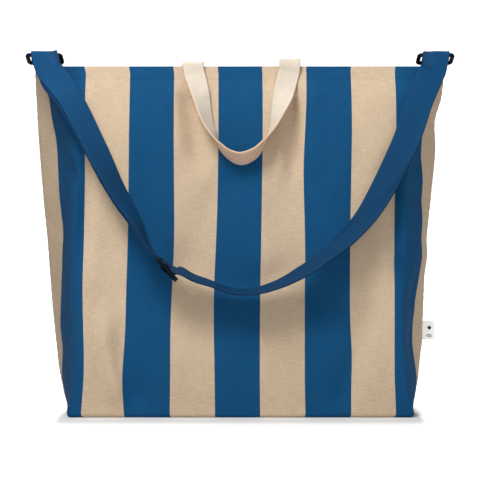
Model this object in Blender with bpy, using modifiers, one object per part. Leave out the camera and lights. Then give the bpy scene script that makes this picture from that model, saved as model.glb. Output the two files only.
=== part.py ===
"""A large striped canvas tote: boxed base, two short handles, and a long shoulder strap on two rings.

Metres, +Z up, +X to the right of someone who faces the front, front at -Y.
The origin is on the floor under the middle of the base.
"""

import math

import bmesh
import bpy
from mathutils import Matrix, Vector

# Bag
HEIGHT = 0.500
BASE_HALF_WIDTH = 0.2465
CANVAS = 0.0012
GAP = 0.0003
HEM_DEPTH = 0.026
HEM_INSET = 0.0020
HEM_END_Y = -0.017
SEAM_ALLOWANCE = 0.010
ROUNDING = 0.010
# Height, seam x, side-fold x and y, corner x, depth of the front face
STATIONS = [
    (0.000, 0.2465, 0.2465, 0.032, 0.2465, 0.0750),
    (0.050, 0.2600, 0.2560, 0.030, 0.2355, 0.0800),
    (0.100, 0.2660, 0.2520, 0.029, 0.2330, 0.0820),
    (0.162, 0.2710, 0.2550, 0.028, 0.2330, 0.0800),
    (0.250, 0.2765, 0.2605, 0.028, 0.2350, 0.0760),
    (0.380, 0.2890, 0.2635, 0.020, 0.2365, 0.0650),
    (0.454, 0.2930, 0.2760, 0.028, 0.2647, 0.0500),
    (0.500, 0.3000, 0.2885, 0.030, 0.2860, 0.0330),
]
SEAM_Y = 0.0016
BASE_SEAM_Y = 0.0004
PANEL_HEIGHTS = [0, 0.01, 0.03, 0.055, 0.09, 0.13, 0.18, 0.23, 0.28, 0.33, 0.38, 0.42, 0.455, 0.48, HEIGHT]
# The sewn allowances inside: how far in from the side seams, their lowest and highest points, and the base corners'
SEAM_INSIDE = 0.0100
SIDE_SEAM_SPAN = (0.0145, 0.4545)
CORNER_SEAM_INSIDE = (0.0080, 0.0052)
CORNER_SEAM_REACH = 0.060
BOTTOM_SEAM_INSIDE = 0.012

# Handles
HANDLE_WIDTH = 0.030
HANDLE_THICK = 0.0024
HANDLE_AXIS_Z = 0.5050
HANDLE_AXIS_Y = -0.0290
HANDLE_FOLD = 0.0016
# The fold over the rim, from the hinge outwards: y and z from the hinge
HANDLE_OVER = [(-HANDLE_FOLD, 0.0), (-0.0048, 0.0005), (-0.0083, -0.0015), (-0.0100, -0.0050)]
HANDLE_STAND_OFF = 0.0030
HANDLE_STEP = 0.006
SEWN_DEPTH = 0.045

# Shoulder strap and its hardware
STRAP_WIDTH = 0.038
STRAP_THICK = 0.0020
RING_WIDTH = 0.048
RING_HEIGHT = 0.024
RING_BAR = 0.003
RING_CORNER = 0.0042
RING_X = 0.282
RING_BACK = Vector((0.0, -0.0130, 0.5075))
RING_FRONT = Vector((0.0, -0.0355, 0.5160))
TAB_WIDTH = 0.023
TAB_FOOT = (0.278, 0.0, 0.468)
TAB_TURN = 70
TAB_START = 0.16
WRAP_START = Vector((0, -1, 0.34))
WRAP_SWEEP = -192
SLIDER_LENGTH = 0.033
SLIDER_WIDTH = 0.050
SLIDER_THICK = 0.0034
SLOT_LENGTH = 0.041
SLOT_HEIGHT = 0.0095
CENTRE_BAR = 0.0050
SLIDER_EDGE = 0.0006
RETURN_LENGTH = 0.045
END_THICK = 0.0016
# The strap's sewn end round the slider's middle bar: along the slider and out of its face
END_FOLD = [
    (0.0270, -0.0040), (0.0110, -0.0040), (0.0058, -0.0022), (0.0046, 0.0020), (0.0020, 0.0036),
    (-0.0020, 0.0036), (-0.0046, 0.0020), (-0.0052, -0.0026), (-0.0020, -0.0062), (0.0270, -0.0064),
]
LABEL = (0.0150, 0.0005, 0.0275)
LABEL_Z = 0.1185
LABEL_GAP = 0.0008

# Each route point is x, z and the turn of the webbing from face-on, in degrees
HANDLE_ROUTE = [
    (-0.0690, 0.495, 0),
    (-0.0575, 0.460, 8),
    (-0.0492, 0.424, 30),
    (-0.0411, 0.403, 60),
    (-0.0310, 0.388, 88),
    (-0.0160, 0.372, 112),
    (0.0010, 0.366, 118),
    (0.0180, 0.372, 112),
    (0.0330, 0.388, 88),
    (0.0435, 0.404, 60),
    (0.0556, 0.4325, 28),
    (0.0628, 0.460, 8),
    (0.0715, 0.495, 0),
]
LOOP_ROUTE = [
    (-0.276, 0.494, 0),
    (-0.2408, 0.4496, 5),
    (-0.2068, 0.384, 12),
    (-0.1746, 0.320, 30),
    (-0.150, 0.2790, 52),
    (-0.1335, 0.2500, 80),
    (-0.1240, 0.2352, 88),
    (-0.1169, 0.2266, 88),
]
SLIDER_AT = (-0.104, 0.2113)
SLIDER_ALONG = Vector((0.643, 0.0, -0.766))
RUN_ROUTE = [
    (-0.0890, 0.2000, 88),
    (-0.0600, 0.1915, 86),
    (-0.0385, 0.1855, 83),
    (-0.0150, 0.1785, 80),
    (0.0050, 0.1765, 80),
    (0.0257, 0.1785, 80),
    (0.0570, 0.1880, 78),
    (0.0927, 0.2064, 72),
    (0.1200, 0.2265, 63),
    (0.1500, 0.2513, 52),
    (0.1805, 0.2855, 38),
    (0.2040, 0.3255, 22),
    (0.2297, 0.3780, 8),
    (0.2432, 0.4125, 3),
    (0.2565, 0.4496, 0),
    (0.2770, 0.4940, 0),
]
STRAP_STEP = 0.009
STAND_OFF = 0.0056


def clear_scene():
    for obj in list(bpy.data.objects):
        bpy.data.objects.remove(obj)


def make_collection(name):
    collection = bpy.data.collections.new(name)
    bpy.context.scene.collection.children.link(collection)
    return collection


def make_material(name, colour, roughness, metallic=0.0):
    material = bpy.data.materials.new(name)
    material.use_nodes = True
    shader = material.node_tree.nodes["Principled BSDF"]
    shader.inputs["Base Color"].default_value = (*colour, 1.0)
    shader.inputs["Roughness"].default_value = roughness
    shader.inputs["Metallic"].default_value = metallic
    return material


def spline_at(points, place):
    """A Catmull-Rom curve through the points, at place 0 to len(points) - 1."""
    last = len(points) - 1
    i = min(int(place), last - 1)
    t = place - i
    a, b, c, d = (points[min(max(k, 0), last)] for k in (i - 1, i, i + 1, i + 2))
    return tuple(
        0.5 * (2 * q + (r - p) * t + (2 * p - 5 * q + 4 * r - s) * t * t + (3 * q - p - 3 * r + s) * t**3)
        for p, q, r, s in zip(a, b, c, d)
    )


def section_at(z):
    """Seam x, side-fold x and y, corner x and depth of the bag at one height."""
    for low, high in zip(STATIONS, STATIONS[1:]):
        if z <= high[0]:
            break
    place = STATIONS.index(low) + (z - low[0]) / (high[0] - low[0])
    return spline_at([row[1:] for row in STATIONS], place)


def front_depth(z):
    return section_at(min(max(z, 0.0), HEIGHT))[4]


def quarter(z):
    """Points of the front right quarter from the middle of the front face to the side seam."""
    seam, fold_x, fold_y, corner_x, depth = section_at(z)
    corner = Vector((corner_x, -depth))
    fold = Vector((fold_x, -fold_y))
    side = (fold - corner).normalized()
    size = min(ROUNDING, 0.45 * (fold - corner).length)
    points = [Vector((corner_x * k / 5, -depth)) for k in range(5)]
    before, after = corner - Vector((size, 0)), corner + side * size
    for k in range(4):
        t = k / 3
        points.append(before * (1 - t) ** 2 + corner * 2 * t * (1 - t) + after * t * t)
    points.append(after.lerp(fold, 0.55))
    points.append(fold)
    points.append(fold.lerp(Vector((seam, -SEAM_Y)), 0.5))
    points.append(Vector((seam, -SEAM_Y)))
    return points


def half_outline(z):
    """The front half of the bag's outline, from the left seam to the right seam."""
    right = quarter(z)
    left = [Vector((-p.x, p.y)) for p in reversed(right[1:])]
    return left + right


def inset(points, distance):
    """The open outline moved inwards, towards +Y."""
    moved = []
    for i, point in enumerate(points):
        ahead = points[min(i + 1, len(points) - 1)] - point
        behind = point - points[max(i - 1, 0)]
        normals = [Vector((-v.y, v.x)).normalized() for v in (ahead, behind) if v.length > 1e-9]
        mean = sum(normals, Vector((0, 0))).normalized()
        moved.append(point + mean * distance / max(mean.dot(normals[0]), 0.5))
    return moved


def add_object(name, mesh, material, collection):
    obj = bpy.data.objects.new(name, mesh)
    obj.data.materials.append(material)
    collection.objects.link(obj)
    return obj


def finish_mesh(name, bm, material, collection):
    mesh = bpy.data.meshes.new(name)
    bmesh.ops.recalc_face_normals(bm, faces=bm.faces)
    bm.to_mesh(mesh)
    bm.free()
    return add_object(name, mesh, material, collection)


def solidify(obj, thickness, offset=-1.0):
    modifier = obj.modifiers.new("thickness", "SOLIDIFY")
    modifier.thickness = thickness
    modifier.offset = offset
    modifier.use_even_offset = True
    return obj


def skin(bm, rows):
    """Quads between neighbouring rows of vertices."""
    for low, high in zip(rows, rows[1:]):
        for k in range(len(low) - 1):
            bm.faces.new((low[k], low[k + 1], high[k + 1], high[k]))


def make_panel(name, turned, material, collection):
    """One wall with its half of both sides and of the base."""
    bm = bmesh.new()
    rows = [[bm.verts.new((p.x, p.y, z)) for p in half_outline(z)] for z in PANEL_HEIGHTS]
    skin(bm, rows)
    reach = BASE_HALF_WIDTH - 0.001
    middle = [bm.verts.new((x, -BASE_SEAM_Y, 0)) for x in (reach, -reach)]
    bm.faces.new(rows[0] + middle)
    mesh = bpy.data.meshes.new(name)
    # The outline runs left to right at -Y, so the walls already face outwards; the base must match them.
    bmesh.ops.recalc_face_normals(bm, faces=bm.faces)
    bm.faces.ensure_lookup_table()
    if bm.faces[-1].normal.z > 0:
        bmesh.ops.reverse_faces(bm, faces=bm.faces)
    if turned:
        bmesh.ops.rotate(bm, verts=bm.verts, matrix=Matrix.Rotation(math.pi, 3, "Z"))
    bm.to_mesh(mesh)
    bm.free()
    return solidify(add_object(name, mesh, material, collection), CANVAS)


def make_hem(name, turned, material, collection):
    """The canvas turned in below the rim."""
    bm = bmesh.new()
    rows = []
    for k in range(4):
        z = HEIGHT - 0.0004 - HEM_DEPTH * (1 - k / 3)
        line = [p for p in half_outline(z) if p.y < HEM_END_Y]
        rows.append([bm.verts.new((p.x, p.y, z)) for p in inset(line, HEM_INSET)])
    skin(bm, rows)
    bmesh.ops.recalc_face_normals(bm, faces=bm.faces)
    bm.faces.ensure_lookup_table()
    middle = min(bm.faces, key=lambda f: abs(f.calc_center_median().x))
    if middle.normal.y > 0:
        bmesh.ops.reverse_faces(bm, faces=bm.faces)
    if turned:
        bmesh.ops.rotate(bm, verts=bm.verts, matrix=Matrix.Rotation(math.pi, 3, "Z"))
    mesh = bpy.data.meshes.new(name)
    bm.to_mesh(mesh)
    bm.free()
    return solidify(add_object(name, mesh, material, collection), CANVAS)


def ribbon(name, path, width, thickness, material, collection):
    """A flat strip lofted along (centre, across) pairs."""
    bm = bmesh.new()
    rows = []
    for i, (centre, across) in enumerate(path):
        along = (path[min(i + 1, len(path) - 1)][0] - path[max(i - 1, 0)][0]).normalized()
        across = (across - along * across.dot(along)).normalized()
        normal = along.cross(across)
        corners = ((-1, -1), (1, -1), (1, 1), (-1, 1))
        rows.append([
            bm.verts.new(centre + across * (a * width / 2) + normal * (b * thickness / 2))
            for a, b in corners
        ])
    for low, high in zip(rows, rows[1:]):
        for k in range(4):
            bm.faces.new((low[k], low[(k + 1) % 4], high[(k + 1) % 4], high[k]))
    bm.faces.new(list(reversed(rows[0])))
    bm.faces.new(rows[-1])
    return finish_mesh(name, bm, material, collection)


def box(name, low, high, material, collection):
    bm = bmesh.new()
    size = Vector(high) - Vector(low)
    place = Matrix.Translation((Vector(low) + Vector(high)) / 2) @ Matrix.Diagonal((*size, 1))
    bmesh.ops.create_cube(bm, size=1, matrix=place)
    return finish_mesh(name, bm, material, collection)


def route_path(route, half_width, stand_off, step):
    """(centre, across) pairs on a smooth route in front of the bag, resting on its front face."""
    spots, place = [], 0.0
    while place < len(route) - 1:
        spots.append(spline_at(route, place))
        ahead = spline_at(route, min(place + 0.05, len(route) - 1))
        speed = math.hypot(ahead[0] - spots[-1][0], ahead[1] - spots[-1][1]) / 0.05
        place += step / max(speed, 1e-4)
    spots.append(route[-1])
    pairs = []
    for i, (x, z, turn) in enumerate(spots):
        before, after = spots[max(i - 1, 0)], spots[min(i + 1, len(spots) - 1)]
        along = Vector((after[0] - before[0], 0, after[1] - before[1])).normalized()
        flat = Vector((-along.z, 0, along.x))
        turn = math.radians(turn)
        y = -front_depth(z) - stand_off - half_width * abs(math.sin(turn))
        pairs.append((Vector((x, y, z)), flat * math.cos(turn) + Vector((0, math.sin(turn), 0))))
    return pairs


def around_bar(bar, start, across, radius, count, sweep):
    """(centre, across) pairs on an arc about a bar, from the direction start, turned by sweep degrees."""
    axis = across.normalized()
    return [
        (bar + Matrix.Rotation(math.radians(sweep * k / count), 3, axis) @ start.normalized() * radius, axis)
        for k in range(count + 1)
    ]


def make_body(parts, canvas):
    make_panel("front_panel", False, canvas, parts)
    make_panel("back_panel", True, canvas, parts)
    make_hem("front_hem", False, canvas, parts)
    make_hem("back_hem", True, canvas, parts)


def make_seams(parts, canvas):
    """The sewn allowances, which stand inside the bag."""
    lowest, highest = SIDE_SEAM_SPAN
    for side, sign in (("left", -1), ("right", 1)):
        path = []
        for k in range(13):
            z = lowest + (highest - lowest) * k / 12
            x = section_at(z)[0] - SEAM_INSIDE - SEAM_ALLOWANCE / 2
            path.append((Vector((sign * x, 0, z)), Vector((1, 0, 0))))
        ribbon(f"{side}_side_seam", path, SEAM_ALLOWANCE, 2 * CANVAS, canvas, parts)
        low = (BASE_HALF_WIDTH - CORNER_SEAM_INSIDE[0], -CORNER_SEAM_REACH, CANVAS + GAP)
        high = (BASE_HALF_WIDTH - CORNER_SEAM_INSIDE[1], CORNER_SEAM_REACH, CANVAS + GAP + SEAM_ALLOWANCE)
        xs = sorted((sign * low[0], sign * high[0]))
        box(f"{side}_corner_seam", (xs[0], *low[1:]), (xs[1], *high[1:]), canvas, parts)
    reach = BASE_HALF_WIDTH - BOTTOM_SEAM_INSIDE
    top = CANVAS + GAP + SEAM_ALLOWANCE
    box("bottom_seam", (-reach, -CANVAS, CANVAS + GAP), (reach, CANVAS, top), canvas, parts)


def handle_ends(name, x, sign, parts, canvas):
    """One sewn end inside the rim: it follows the wall and stands up to the fold."""
    inside = HEM_INSET + CANVAS + 2 * GAP + HANDLE_THICK / 2
    path = []
    for k in range(6):
        z = HEIGHT - SEWN_DEPTH + (SEWN_DEPTH - 0.0005) * k / 5
        path.append((Vector((x, sign * (front_depth(z) - inside), z)), Vector((1, 0, 0))))
    top = HANDLE_AXIS_Z - HANDLE_FOLD
    path.append((Vector((x, sign * -HANDLE_AXIS_Y, top)), Vector((1, 0, 0))))
    return ribbon(name, path, HANDLE_WIDTH, HANDLE_THICK, canvas, parts)


def make_handle(face, sign, parts, canvas):
    """A short handle that hangs outside the rim, and its two sewn ends. sign is -1 at the front."""
    hanging = route_path(HANDLE_ROUTE, HANDLE_WIDTH / 2, HANDLE_STAND_OFF, HANDLE_STEP)
    across = Vector((1, 0, 0))
    start_x, end_x = HANDLE_ROUTE[0][0], HANDLE_ROUTE[-1][0]
    over = [(HANDLE_AXIS_Y + y, HANDLE_AXIS_Z + z) for y, z in HANDLE_OVER]
    lead = [(Vector((start_x, y, z)), across.copy()) for y, z in over]
    tail = [(Vector((end_x, y, z)), -across) for y, z in reversed(over)]
    path = lead + hanging[1:-1] + tail
    if sign > 0:
        turn = Matrix.Rotation(math.pi, 3, "Z")
        path = [(turn @ centre, turn @ side) for centre, side in path]
        start_x, end_x = -start_x, -end_x
    ribbon(f"{face}_handle", path, HANDLE_WIDTH, HANDLE_THICK, canvas, parts)
    for side, x in zip(("left", "right"), sorted((start_x, end_x))):
        handle_ends(f"{face}_handle_{side}_end", x, sign, parts, canvas)


def rounded_loop(width, height, radius, steps=5):
    """A closed outline in the XY plane with round corners."""
    points = []
    for quadrant in range(4):
        cx = (width / 2 - radius) * (1 if quadrant in (0, 3) else -1)
        cy = (height / 2 - radius) * (1 if quadrant in (0, 1) else -1)
        for k in range(steps + 1):
            angle = math.pi / 2 * (quadrant + k / steps)
            points.append(Vector((cx + radius * math.cos(angle), cy + radius * math.sin(angle), 0)))
    return points


def make_ring(side, sign, parts, plastic):
    """A rectangular ring that lies forward over the rim, its back bar in the tab."""
    curve = bpy.data.curves.new(f"{side}_ring", "CURVE")
    curve.dimensions = "3D"
    curve.bevel_depth = RING_BAR
    curve.bevel_resolution = 2
    outline = rounded_loop(RING_WIDTH, RING_HEIGHT, RING_CORNER)
    spline = curve.splines.new("POLY")
    spline.points.add(len(outline) - 1)
    for point, place in zip(spline.points, outline):
        point.co = (*place, 1)
    spline.use_cyclic_u = True
    ring = add_object(f"{side}_ring", curve, plastic, parts)
    ring.location = (RING_BACK + RING_FRONT) / 2 + Vector((sign * RING_X, 0, 0))
    lie = RING_FRONT - RING_BACK
    ring.rotation_euler = (math.atan2(lie.z, lie.y), 0, 0)
    return ring


def make_tab(side, sign, parts, webbing):
    """A folded tab that holds the ring's back bar and is sewn inside the side of the rim."""
    bar = RING_BACK + Vector((sign * RING_X, 0, 0))
    wrap = RING_BAR + 2 * GAP + STRAP_THICK / 2
    layer = STRAP_THICK / 2 + GAP / 2
    foot = Vector((sign * TAB_FOOT[0], TAB_FOOT[1], TAB_FOOT[2]))
    front, back = [], []
    for k in range(7):
        t = k / 6
        centre = bar.lerp(foot, TAB_START + (1 - TAB_START) * t)
        turn = math.radians(TAB_TURN * t) * sign
        across = Vector((math.cos(turn), math.sin(turn), 0))
        normal = Vector((math.sin(turn), -math.cos(turn), 0))
        spread = layer + (wrap - layer) * (1 - t) ** 3 * 0.8
        front.append((centre + normal * spread, across))
        back.append((centre - normal * spread, across))
    arc = around_bar(bar, Vector((0, -1, 0)), Vector((1, 0, 0)), wrap, 8, -180)
    path = list(reversed(front)) + arc + back
    ribbon(f"{side}_ring_tab", path, TAB_WIDTH, STRAP_THICK, webbing, parts)


def wrap_over_ring(bar):
    """The webbing's turn over a ring's front bar, from the layer in front to the layer behind."""
    wrap = RING_BAR + 4 * GAP + STRAP_THICK / 2
    return around_bar(bar, WRAP_START, Vector((1, 0, 0)), wrap, 8, WRAP_SWEEP)


def layered(path, amount):
    """The path moved towards its own face by amount at each point."""
    moved = []
    for i, (centre, across) in enumerate(path):
        along = (path[min(i + 1, len(path) - 1)][0] - path[max(i - 1, 0)][0]).normalized()
        moved.append((centre + along.cross(across).normalized() * amount, across))
    return moved


def make_strap(parts, webbing):
    """The doubled loop from the left ring to the slider, and the single run to the right ring."""
    layer = STRAP_THICK / 2 + GAP
    half = SLIDER_WIDTH / 2
    left_bar = RING_FRONT + Vector((-RING_X, 0, 0))
    right_bar = RING_FRONT + Vector((RING_X, 0, 0))
    loop = route_path(LOOP_ROUTE, half, STAND_OFF, STRAP_STEP)
    over = wrap_over_ring(left_bar)
    outer, inner = layered(loop, layer), layered(loop, -layer)
    ribbon("adjusting_loop", list(reversed(outer)) + over + inner, STRAP_WIDTH, STRAP_THICK, webbing, parts)

    run = route_path(RUN_ROUTE, half, STAND_OFF, STRAP_STEP)
    front = layered(run, layer)
    over = [(centre, -across) for centre, across in wrap_over_ring(right_bar)]
    keep = [pair for pair in run if pair[0].z > HEIGHT - RETURN_LENGTH]
    behind = list(reversed(layered(keep, -layer)))
    ribbon("shoulder_strap", front + over + behind, STRAP_WIDTH, STRAP_THICK, webbing, parts)


def slider_frame():
    """Centre, and the directions along, across and out of the slider."""
    along = SLIDER_ALONG.normalized()
    turn = math.radians(LOOP_ROUTE[-1][2])
    across = Vector((-along.z, 0, along.x)) * math.cos(turn) + Vector((0, math.sin(turn), 0))
    x, z = SLIDER_AT
    y = -front_depth(z) - STAND_OFF - SLIDER_WIDTH / 2 * math.sin(turn)
    return Vector((x, y, z)), along, across, along.cross(across)


def cut(obj, cutter):
    modifier = obj.modifiers.new(cutter.name, "BOOLEAN")
    modifier.operation = "DIFFERENCE"
    modifier.object = cutter
    cutter.hide_render = True
    cutter.display_type = "WIRE"


def make_slider(parts, cutters, plastic, webbing):
    """A three-bar slider, and the strap's sewn end folded round its middle bar."""
    centre, along, across, out = slider_frame()
    place = Matrix((along, across, out)).transposed().to_4x4()
    place.translation = centre
    half = (SLIDER_LENGTH / 2, SLIDER_WIDTH / 2, SLIDER_THICK / 2)
    slider = box("slider", [-v for v in half], half, plastic, parts)
    slider.matrix_world = place
    for name, sign in (("slot_upper", -1), ("slot_lower", 1)):
        middle = sign * (CENTRE_BAR + SLOT_HEIGHT) / 2
        low = (middle - SLOT_HEIGHT / 2, -SLOT_LENGTH / 2, -0.01)
        high = (middle + SLOT_HEIGHT / 2, SLOT_LENGTH / 2, 0.01)
        cutter = box(name, low, high, plastic, cutters)
        cutter.matrix_world = place
        cut(slider, cutter)
    edge = slider.modifiers.new("edges", "BEVEL")
    edge.width = SLIDER_EDGE
    edge.segments = 1
    path = [(centre + along * t + out * n, across) for t, n in END_FOLD]
    ribbon("strap_end_fold", path, STRAP_WIDTH, END_THICK, webbing, parts)


def make_label(parts, cloth):
    """A small woven label sewn into the right side seam."""
    x = section_at(LABEL_Z + LABEL[2] / 2)[0] + LABEL_GAP
    low = (x, -LABEL[1] / 2, LABEL_Z - LABEL[2] / 2)
    high = (x + LABEL[0], LABEL[1] / 2, LABEL_Z + LABEL[2] / 2)
    box("side_label", low, high, cloth, parts)


def main():
    clear_scene()
    parts = make_collection("striped_tote")
    cutters = make_collection("cutters")
    canvas = make_material("striped_canvas", (0.045, 0.130, 0.270), 0.85)
    natural = make_material("natural_webbing", (0.780, 0.680, 0.560), 0.85)
    blue = make_material("blue_webbing", (0.030, 0.110, 0.230), 0.80)
    plastic = make_material("dark_plastic", (0.012, 0.014, 0.030), 0.35)
    white = make_material("label_cloth", (0.850, 0.830, 0.780), 0.80)
    make_body(parts, canvas)
    make_seams(parts, canvas)
    make_handle("front", -1, parts, natural)
    make_handle("back", 1, parts, natural)
    for side, sign in (("left", -1), ("right", 1)):
        make_ring(side, sign, parts, plastic)
        make_tab(side, sign, parts, blue)
    make_strap(parts, blue)
    make_slider(parts, cutters, plastic, blue)
    make_label(parts, white)


main()
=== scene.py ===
"""The finished look of a large striped canvas tote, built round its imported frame.

Metres, +Z up, +X to the right of someone who faces the front, front at -Y.
"""

import math

import bmesh
import bpy
import numpy as np
from mathutils import Matrix, Vector, noise


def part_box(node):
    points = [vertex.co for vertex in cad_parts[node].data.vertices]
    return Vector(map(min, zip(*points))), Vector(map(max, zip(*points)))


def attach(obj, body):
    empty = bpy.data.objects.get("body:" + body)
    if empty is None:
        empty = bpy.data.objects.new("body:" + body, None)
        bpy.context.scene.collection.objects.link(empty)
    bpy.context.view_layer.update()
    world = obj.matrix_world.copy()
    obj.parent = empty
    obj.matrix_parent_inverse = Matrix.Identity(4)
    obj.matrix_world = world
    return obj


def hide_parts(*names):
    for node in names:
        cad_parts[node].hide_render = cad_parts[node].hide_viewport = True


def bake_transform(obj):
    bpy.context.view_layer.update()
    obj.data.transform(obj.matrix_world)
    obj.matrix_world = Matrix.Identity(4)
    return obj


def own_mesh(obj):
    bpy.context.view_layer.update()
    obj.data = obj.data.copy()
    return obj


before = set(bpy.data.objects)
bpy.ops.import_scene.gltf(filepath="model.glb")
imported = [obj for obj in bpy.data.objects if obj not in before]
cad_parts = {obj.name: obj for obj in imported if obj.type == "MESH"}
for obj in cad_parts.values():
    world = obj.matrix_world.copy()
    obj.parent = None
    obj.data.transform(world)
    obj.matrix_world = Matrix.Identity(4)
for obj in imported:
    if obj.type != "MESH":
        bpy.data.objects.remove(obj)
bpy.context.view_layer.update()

# Sizes that come from the frame
PANEL_LOW, PANEL_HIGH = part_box("front_panel")
HEIGHT = PANEL_HIGH.z
STRAP_WIDTH = 0.038
STRAP_THICK = 0.0020
HANDLE_WIDTH = 0.030
HANDLE_THICK = 0.0024
CANVAS = 0.0012
GAP = 0.0003

# The cut of the cloth: ten stripes across one panel
STRIPE = 0.0643
SEAM_U = 5 * STRIPE
FOLD_U = 4.5 * STRIPE
GRID = 0.003
BASE_TURN = 0.006
BASE_HALF = (0.245, 0.075, 0.0)
RIM_ROLL = 0.0016
HEM_DEPTH = 0.026
HEM_STITCHES = (0.0172, 0.0196)
# Where along the flat cloth the base's front corner lies
BASE_CORNER_U = 0.2482
# The sewn allowance of a side seam: its foot, its height, its width and how far inside the seam it lies
SEAM_FOOT = 0.0145
SEAM_RISE = 0.440
SEAM_WIDTH = 0.010
SEAM_INSET = 0.0075
# Stitches: from one to the next, how long and how thick
STITCH_PITCH = 0.0032
STITCH_LENGTH = 0.0023
STITCH_THREAD = 0.0006
HEM_THREAD = 0.0005
STITCH_INSET = 0.0030
HANDLE_STITCH_INSET = 0.0028

# Height, seam x, side-fold x and y, corner x and depth of the front face, on each side of the bag
LEFT_SIDE = [
    (0.000, 0.2474, 0.2470, 0.032, 0.2465, 0.0750),
    (0.050, 0.2631, 0.2560, 0.030, 0.2355, 0.0800),
    (0.100, 0.2696, 0.2573, 0.029, 0.2330, 0.0820),
    (0.162, 0.2759, 0.2587, 0.028, 0.2330, 0.0800),
    (0.250, 0.2825, 0.2530, 0.028, 0.2350, 0.0760),
    (0.306, 0.2882, 0.2550, 0.024, 0.2352, 0.0716),
    (0.380, 0.2942, 0.2630, 0.020, 0.2365, 0.0650),
    (0.454, 0.2986, 0.2760, 0.028, 0.2647, 0.0500),
    (0.500, 0.3004, 0.2885, 0.030, 0.2860, 0.0330),
]
RIGHT_SIDE = [
    (0.000, 0.2464, 0.2460, 0.032, 0.2465, 0.0750),
    (0.050, 0.2603, 0.2550, 0.030, 0.2355, 0.0800),
    (0.100, 0.2666, 0.2475, 0.029, 0.2330, 0.0820),
    (0.162, 0.2693, 0.2515, 0.028, 0.2330, 0.0800),
    (0.194, 0.2706, 0.2610, 0.028, 0.2336, 0.0787),
    (0.250, 0.2736, 0.2650, 0.028, 0.2350, 0.0760),
    (0.306, 0.2796, 0.2665, 0.024, 0.2352, 0.0716),
    (0.380, 0.2865, 0.2630, 0.020, 0.2365, 0.0650),
    (0.424, 0.2860, 0.2660, 0.024, 0.2480, 0.0576),
    (0.458, 0.2955, 0.2760, 0.028, 0.2660, 0.0490),
    (0.500, 0.2994, 0.2885, 0.030, 0.2860, 0.0330),
]
# Height, how far the stripes draw together across the front, and how far they lean to the right
STRIPE_LEAN = [
    (0.000, 0.9926, -0.0034),
    (0.060, 0.9820, -0.0036),
    (0.150, 0.9800, -0.0032),
    (0.250, 0.9755, -0.0014),
    (0.350, 0.9780, 0.0002),
    (0.420, 0.9840, 0.0009),
    (0.500, 0.9870, 0.0006),
]
# Where the stripes wander on the front: x and z of the middle, half width, half height, and shift in x
STRIPE_DRIFT = [
    (0.096, 0.355, 0.030, 0.085, -0.0044),
    (-0.226, 0.080, 0.026, 0.090, 0.0052),
    (-0.166, 0.060, 0.026, 0.045, -0.0044),
    (-0.098, 0.250, 0.028, 0.080, 0.0026),
    (0.162, 0.080, 0.026, 0.060, 0.0036),
    (-0.034, 0.165, 0.024, 0.090, -0.0026),
]
# Soft folds of the front: x and z of both ends, width, and height (negative is a hollow)
FRONT_FOLDS = [
    (0.056, 0.480, 0.060, 0.340, 0.014, 0.0060),
    (0.078, 0.470, 0.080, 0.345, 0.016, -0.0100),
    (0.102, 0.480, 0.108, 0.350, 0.018, 0.0062),
    (-0.076, 0.470, -0.060, 0.360, 0.017, -0.0074),
    (-0.098, 0.480, -0.090, 0.370, 0.017, 0.0058),
    (-0.165, 0.020, -0.195, 0.140, 0.018, 0.0096),
    (-0.138, 0.010, -0.176, 0.120, 0.016, -0.0081),
    (0.150, 0.020, 0.190, 0.180, 0.022, -0.0087),
    (0.060, 0.210, 0.170, 0.120, 0.028, -0.0071),
    (-0.110, 0.190, -0.030, 0.110, 0.030, -0.0062),
    (0.015, 0.330, 0.050, 0.200, 0.026, 0.0062),
    (-0.040, 0.330, -0.075, 0.200, 0.024, -0.0059),
    (0.130, 0.440, 0.150, 0.300, 0.022, 0.0062),
    (-0.175, 0.430, -0.150, 0.300, 0.022, 0.0056),
    (-0.215, 0.380, -0.228, 0.220, 0.014, -0.0068),
    (0.216, 0.360, 0.228, 0.200, 0.014, -0.0068),
    (-0.262, 0.360, -0.240, 0.330, 0.012, -0.0062),
    (0.250, 0.200, 0.228, 0.225, 0.012, -0.0062),
]
BACK_FOLDS = [
    (-0.150, 0.450, -0.110, 0.260, 0.022, -0.0056),
    (0.110, 0.470, 0.085, 0.300, 0.018, 0.0050),
    (0.170, 0.020, 0.200, 0.160, 0.022, -0.0056),
    (-0.060, 0.300, 0.050, 0.180, 0.030, 0.0047),
    (-0.190, 0.040, -0.150, 0.190, 0.024, 0.0053),
    (0.020, 0.420, 0.000, 0.240, 0.024, -0.0040),
    (0.210, 0.380, 0.226, 0.200, 0.014, -0.0043),
]

# The handles' hinge line, and y and z from it where each end passes over the rim
HANDLE_AXIS_Y = -0.0290
HANDLE_AXIS_Z = 0.5050
# Where a handle starts to bend away from its sewn ends
HANDLE_OVER = [
    (0.0000, -0.0003),
    (-0.0016, 0.0002),
    (-0.0048, 0.0005),
    (-0.0083, -0.0015),
    (-0.0100, -0.0050),
]
HANDLE_OVER_HIGH = [
    (0.0000, 0.0000),
    (-0.0010, 0.0034),
    (-0.0046, 0.0052),
    (-0.0084, 0.0022),
    (-0.0102, -0.0050),
]
SEWN_DEPTH = 0.045
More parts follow.
